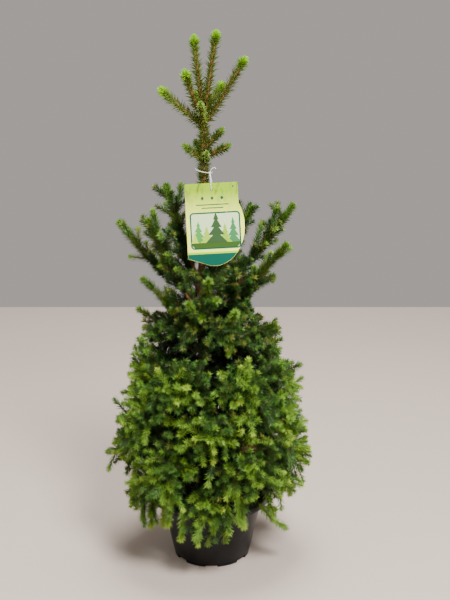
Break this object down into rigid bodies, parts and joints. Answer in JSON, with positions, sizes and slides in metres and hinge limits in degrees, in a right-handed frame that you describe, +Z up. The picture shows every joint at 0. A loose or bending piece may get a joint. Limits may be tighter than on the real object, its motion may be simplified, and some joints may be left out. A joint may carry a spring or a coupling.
{
  "type": "potted norway spruce",
  "caption": "Young dwarf norway spruce with a bushy base, a waist and a clear leader, in a round black nursery pot with a hang tag on a string.",
  "frame": {"origin": "middle of the pot's flat underside, where the part stands", "axes": "+Z up along the trunk, front towards -Y where the tag hangs, +X to the viewer's right"},
  "size_m": [0.3997, 0.3721, 1.0249],
  "materials": {
    "pot_plastic": "satin",
    "soil": "matte",
    "bark": "matte",
    "needles": "matte",
    "tag_card": "gloss",
    "string": "matte"
  },
  "bodies": {
    "root": {"pot": "pot_plastic", "soil": "soil", "trunk": "bark", "bough_1": "bark", "bough_2": "bark", "bough_3": "bark", "bough_4": "bark", "bough_5": "bark", "bough_6": "bark", "bough_7": "bark", "bough_8": "bark", "bough_9": "bark", "skirt_foliage_1": "needles", "skirt_foliage_2": "needles", "skirt_foliage_3": "needles", "skirt_foliage_4": "needles", "skirt_foliage_5": "needles", "skirt_foliage_6": "needles", "lower_foliage_1": "needles", "lower_foliage_2": "needles", "lower_foliage_3": "needles", "lower_foliage_4": "needles", "lower_foliage_5": "needles", "lower_foliage_6": "needles", "middle_foliage_1": "needles", "middle_foliage_2": "needles", "middle_foliage_3": "needles", "middle_foliage_4": "needles", "middle_foliage_5": "needles", "middle_foliage_6": "needles", "upper_foliage_1": "needles", "upper_foliage_2": "needles", "upper_foliage_3": "needles", "upper_foliage_4": "needles", "upper_foliage_5": "needles", "upper_foliage_6": "needles", "waist_foliage_1": "needles", "waist_foliage_2": "needles", "waist_foliage_3": "needles", "waist_foliage_4": "needles", "waist_foliage_5": "needles", "waist_foliage_6": "needles", "waist_foliage_7": "needles", "waist_foliage_8": "needles", "crown_foliage_1": "needles", "crown_foliage_2": "needles", "crown_foliage_3": "needles", "crown_foliage_4": "needles", "crown_foliage_5": "needles", "crown_foliage_6": "needles", "crown_foliage_7": "needles", "crown_foliage_8": "needles", "crown_foliage_9": "needles", "second_foliage": "needles", "leader_foliage": "needles", "leader_needles": "needles", "tag": "tag_card", "tag_string": "string"}
  },
  "joints": []
}
